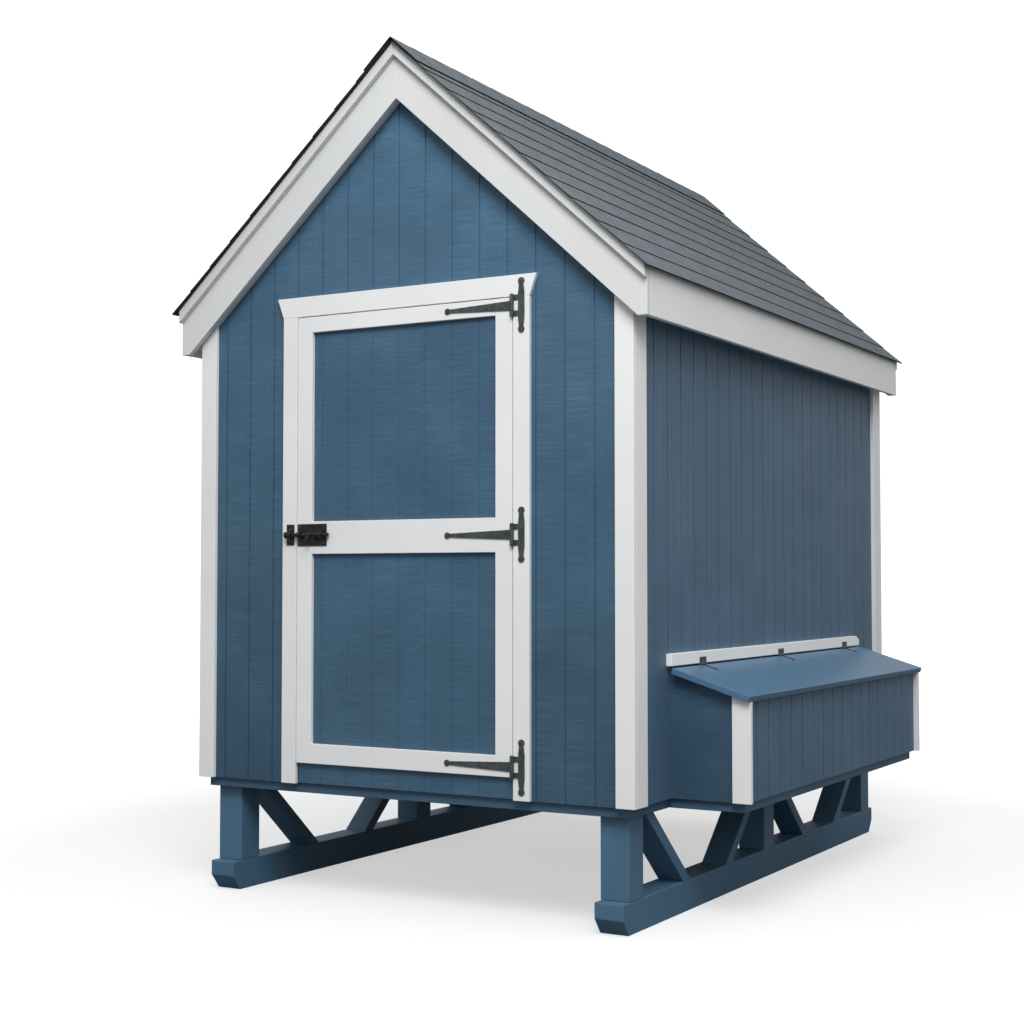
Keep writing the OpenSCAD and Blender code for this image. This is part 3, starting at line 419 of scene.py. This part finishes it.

# --- Rake boards, fascias and soffits -------------------------------------
# White boards that close the roof edge: a packer off the siding, the rake
# board on it, a narrow shadow board on top, and a boxed eave along each side.
# painted shade: the roof's edge boards get a greyer copy of the white trim paint, standing for the
# dimmer light on them
rake_paint_with_painted_shade = painted_board("white_acrylic_on_rake_boards_painted_shade",
                                 "#dadcdc", "#d4d6d6", 0.00025, 0.45)
eased_boards("rake_faces", "rake_boards", 0.0015, rake_paint_with_painted_shade)
eased_boards("rake_shadow_faces", "rake_shadow_boards", 0.0015, rake_paint_with_painted_shade)
eased_boards("rake_packing", "rake_packers", 0.001, rake_paint_with_painted_shade)
eased_boards("eave_faces", "eave_fascias", 0.0015, white_trim_paint)
eased_boards("eave_soffits", "soffits", 0.001, white_trim_paint)


# --- Shingles -------------------------------------------------------------
# Asphalt strip shingles a metre long, laid from the eave up with staggered
# joints. Charcoal mineral granules cover them and their cut edges are black.
def granule_felt(name, hex_code, dark_code, pale_code):
    material, tree = new_material(name)
    place = add_node(tree, "ShaderNodeTexCoord")
    # granules are 1.5 mm across; they are drawn 4 mm across so that they show
    grit = add_node(tree, "ShaderNodeTexNoise", {"Scale": 260.0, "Detail": 2.0, "Roughness": 0.7},
                    {"Vector": place.outputs["Object"]})
    # blends of dark and light granules, about 60 mm across
    blend = add_node(tree, "ShaderNodeTexNoise", {"Scale": 16.0, "Detail": 3.0, "Roughness": 0.6},
                     {"Vector": place.outputs["Object"]})
    total = add_node(tree, "ShaderNodeMath", {"operation": "MULTIPLY_ADD", 1: 0.3},
                     {0: blend.outputs[0], 2: grit.outputs[0]})
    tone = add_node(tree, "ShaderNodeValToRGB", None, {0: total.outputs[0]})
    tone.color_ramp.elements[0].position = 0.4
    tone.color_ramp.elements[0].color = linear(dark_code)
    tone.color_ramp.elements[1].position = 0.9
    tone.color_ramp.elements[1].color = linear(pale_code)
    middle = tone.color_ramp.elements.new(0.65)
    middle.color = linear(hex_code)
    bump = add_node(tree, "ShaderNodeBump", {"Strength": 0.9, "Distance": 0.0012},
                    {"Height": grit.outputs[0]})
    shader = add_node(tree, "ShaderNodeBsdfPrincipled",
                      {"Roughness": 0.9, "Specular IOR Level": 0.25},
                      {"Base Color": tone.outputs[0], "Normal": bump.outputs[0]})
    add_node(tree, "ShaderNodeOutputMaterial", None, {"Surface": shader.outputs[0]})
    return material


charcoal_granules = granule_felt("charcoal_mineral_granules", "#5f676d", "#474e53", "#7c848a")
bitumen_edge, tree = new_material("cut_bitumen_edge")
shader = add_node(tree, "ShaderNodeBsdfPrincipled",
                  {"Base Color": linear("#15181a"), "Roughness": 0.8})
add_node(tree, "ShaderNodeOutputMaterial", None, {"Surface": shader.outputs[0]})

low_corner, high_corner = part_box("shingles_right")
sheath_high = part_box("roof_sheathing")[1]
slope = math.radians(42)
middle_x = (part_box("ridge_board")[0][0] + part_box("ridge_board")[1][0]) / 2
sheath_gap = 0.0001
ridge_z = sheath_high[2] + sheath_gap
eave_reach = (high_corner[0] - middle_x) / math.cos(slope)
course_count = 11
course_step = 0.117
course_drop = 0.009
course_tuck = 0.012
ridge_gap = 0.004
shingle_l = 1.0
shortest_strip, last_start = 0.03, 0.02
butt_t, head_t = 0.005, 0.0014
butt_clear = 0.0002
half_joint = 0.0006
lift_play, slip_play = 0.0006, 0.0012
roof_y0, roof_y1 = low_corner[1], high_corner[1]
for side, cad_name in ((1, "shingles_right"), (-1, "shingles_left")):
    bm = bmesh.new()
    for course in range(course_count):
        low = eave_reach - course * course_step + (course_drop if course else 0.0)
        high = max(ridge_gap,
                   eave_reach - (course + 1) * course_step + course_drop - course_tuck)
        start = roof_y0 - random.uniform(0.1, 0.9)
        while start < roof_y1 - last_start:
            y0, y1 = max(start, roof_y0), min(start + shingle_l, roof_y1)
            start += shingle_l
            if y1 - y0 < shortest_strip:
                continue
            made = bmesh.ops.create_cube(bm, size=1)["verts"]
            lift = butt_t - random.uniform(0.0, lift_play)
            slip = random.uniform(-slip_play, slip_play) if course else 0.0
            for v in made:
                at_low = v.co.x > 0
                on_top = v.co.z > 0
                v.co.x = low + slip if at_low else high
                v.co.y = y0 + half_joint if v.co.y < 0 else y1 - half_joint
                top_z = lift if at_low else head_t
                under_z = butt_clear if at_low else 0.0
                v.co.z = top_z if on_top else under_z
    bm.normal_update()
    for f in bm.faces:
        f.material_index = 0 if f.normal.z > 0.5 else 1
    bmesh.ops.rotate(bm, verts=bm.verts, matrix=Matrix.Rotation(slope, 3, "Y"), cent=(0, 0, 0))
    bmesh.ops.translate(bm, verts=bm.verts, vec=(0, 0, ridge_z))
    if side < 0:
        bmesh.ops.scale(bm, verts=bm.verts, vec=(-1, 1, 1))
        bmesh.ops.reverse_faces(bm, faces=bm.faces)
    bmesh.ops.translate(bm, verts=bm.verts, vec=(middle_x, 0, 0))
    mesh = bpy.data.meshes.new(cad_name + "_courses")
    bm.to_mesh(mesh)
    bm.free()
    mesh.materials.append(charcoal_granules)
    mesh.materials.append(bitumen_edge)
    courses = bpy.data.objects.new(cad_name + "_courses", mesh)
    scene.collection.objects.link(courses)
    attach(courses, "house")
    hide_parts(cad_name)

# --- Ridge caps -----------------------------------------------------------
# Single shingle tabs bent over the ridge, each lapped over the next so that
# its front edge stands a little proud, and nailed under the lap.
cap_low, cap_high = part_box("ridge_caps")
cap_reach = cap_high[0] - middle_x
cap_count = 20
cap_step = (cap_high[1] - cap_low[1]) / cap_count
cap_top = cap_high[2]
cap_lap = 0.02
cap_t = 0.0025
cap_sink = 0.0016
crease = 0.003
bm = bmesh.new()
for k in range(cap_count):
    y0 = cap_low[1] + k * cap_step
    y1 = min(y0 + cap_step + cap_lap, cap_high[1])
    strip = []
    for part in (-1.0, -0.5, -0.045, 0.0, 0.045, 0.5, 1.0):
        x = part * cap_reach
        drop = max(abs(x) * math.tan(slope), crease) - crease * (part == 0.0)
        strip.append(bm.verts.new((middle_x + x, y0, cap_top - drop)))
    edges = [bm.edges.new((a, b)) for a, b in zip(strip, strip[1:])]
    made = bmesh.ops.extrude_edge_only(bm, edges=edges)["geom"]
    back = [g for g in made if isinstance(g, bmesh.types.BMVert)]
    bmesh.ops.translate(bm, verts=back, vec=(0, y1 - y0, -cap_sink))
bmesh.ops.recalc_face_normals(bm, faces=bm.faces)
downward = [f for f in bm.faces if f.normal.z < 0]
bmesh.ops.reverse_faces(bm, faces=downward)
bmesh.ops.solidify(bm, geom=list(bm.faces), thickness=cap_t)
bm.normal_update()
# granules on the face and on each lapped front edge; the rest is cut bitumen
for f in bm.faces:
    on_face = f.normal.z > 0.3
    lapped_edge = f.normal.y < -0.9 and f.calc_center_median().y > cap_low[1] + 0.01
    f.material_index = 0 if on_face or lapped_edge else 1
# vertices and faces in the order of their places, so that each run gives the same mesh
by_place = sorted(bm.verts, key=lambda v: tuple(v.co))
rank = {v: n for n, v in enumerate(by_place)}
bm.verts.sort(key=rank.get)
by_place = sorted(bm.faces, key=lambda f: tuple(f.calc_center_median()))
rank = {f: n for n, f in enumerate(by_place)}
bm.faces.sort(key=rank.get)
mesh = bpy.data.meshes.new("bent_ridge_tabs")
bm.to_mesh(mesh)
bm.free()
mesh.materials.append(charcoal_granules)
mesh.materials.append(bitumen_edge)
ridge_tabs = bpy.data.objects.new("bent_ridge_tabs", mesh)
scene.collection.objects.link(ridge_tabs)
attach(ridge_tabs, "house")
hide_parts("ridge_caps")

# --- Nest boxes -----------------------------------------------------------
# A row of boxes on its own bearers, with siding on the outside, a bare ply
# floor and partitions, a white ledger on the wall and white corner boards.
eased_boards("nest_bearers", "nest_floor_frame", 0.002, blue_timber_paint)
eased_boards("nest_base", "nest_floor", 0.0, plywood)
eased_boards("nest_partitions", "nest_dividers", 0.0, plywood)
eased_boards("nest_corner_trim", "nest_corner_boards", 0.0015, white_trim_paint)
# painted light: the ledger gets a brighter copy of the white trim paint, standing for the light on
# it
ledger_paint_with_painted_light = painted_board("white_acrylic_on_ledger_painted_light",
                                   "#fafbfb", "#f5f6f6", 0.00025, 0.38)
eased_boards("nest_ledger", "nest_hinge_board", 0.0015, ledger_paint_with_painted_light)
# a smooth sheet lid that shines a little more than the siding; its paler blue is painted light from
# above
lid_paint_with_painted_top_light = painted_board("blue_acrylic_on_smooth_lid_painted_top_light", "#4d7290", "#4a6e8b", 0.0002, 0.36)
eased_boards("nest_lid_sheet", "nest_lid", 0.002, lid_paint_with_painted_top_light, "nest_lid")


# --- Hinges, latch and screws ---------------------------------------------
# Pressed and forged steel with a black powder coat that is a little rough,
# and domed screws in the same finish.
def powder_coat(name, hex_code, worn_code, roughness):
    material, tree = new_material(name)
    place = add_node(tree, "ShaderNodeTexCoord")
    # orange peel in the coat, 2 mm across
    peel = add_node(tree, "ShaderNodeTexNoise", {"Scale": 500.0, "Detail": 2.0},
                    {"Vector": place.outputs["Object"]})
    worn = add_node(tree, "ShaderNodeTexNoise", {"Scale": 60.0, "Detail": 4.0},
                    {"Vector": place.outputs["Object"]})
    tone = add_node(tree, "ShaderNodeValToRGB", None, {0: worn.outputs[0]})
    tone.color_ramp.elements[0].position = 0.35
    tone.color_ramp.elements[0].color = linear(hex_code)
    tone.color_ramp.elements[1].position = 0.75
    tone.color_ramp.elements[1].color = linear(worn_code)
    bump = add_node(tree, "ShaderNodeBump", {"Strength": 0.4, "Distance": 0.0003},
                    {"Height": peel.outputs[0]})
    shader = add_node(tree, "ShaderNodeBsdfPrincipled", {"Roughness": roughness, "Metallic": 0.3},
                      {"Base Color": tone.outputs[0], "Normal": bump.outputs[0]})
    add_node(tree, "ShaderNodeOutputMaterial", None, {"Surface": shader.outputs[0]})
    return material


black_coat = powder_coat("black_powder_coat", "#3c4143", "#565b5e", 0.45)
# the latch is a deeper black, with thin pale lights along its round edges
latch_coat = powder_coat("glossy_black_powder_coat", "#17191a", "#2b2e2f", 0.28)
zinc = powder_coat("zinc_plate", "#8d9194", "#a3a7aa", 0.35)
for node_name in ("door_hinge_plates", "door_hinge_pins", "door_hinge_straps",
                  "frame_screws", "door_screws", "lid_hinge_plates", "lid_hinge_straps"):
    coat_node(node_name, black_coat)
for node_name in ("latch_keeper", "latch_plate", "latch_bolt"):
    coat_node(node_name, latch_coat)
coat_node("lid_hinge_pins", zinc)

# --- Door stiles and rails ------------------------------------------------
# White boards planted on the door's siding, butted at the corners.
eased_boards("door_uprights", "door_stiles", 0.0015, white_trim_paint, "door")
eased_boards("door_cross_boards", "door_rails", 0.0015, white_trim_paint, "door")

# --- Hen door and roosts --------------------------------------------------
# A sliding hatch in rebated runners on the far wall, and square perches on
# ledgers inside.
# the hatch takes the lid's paint, whose paler blue is painted light
eased_boards("hen_hatch", "hen_door", 0.0015, lid_paint_with_painted_top_light, "hen_door")
eased_boards("hen_hatch_runners", "hen_door_runners", 0.0015, white_trim_paint)
eased_boards("hen_hatch_sill", "hen_door_sill", 0.0015, white_trim_paint)
eased_boards("perches", "roost_bars", 0.004, spruce)
eased_boards("perch_ledgers", "roost_cleats", 0.002, spruce)
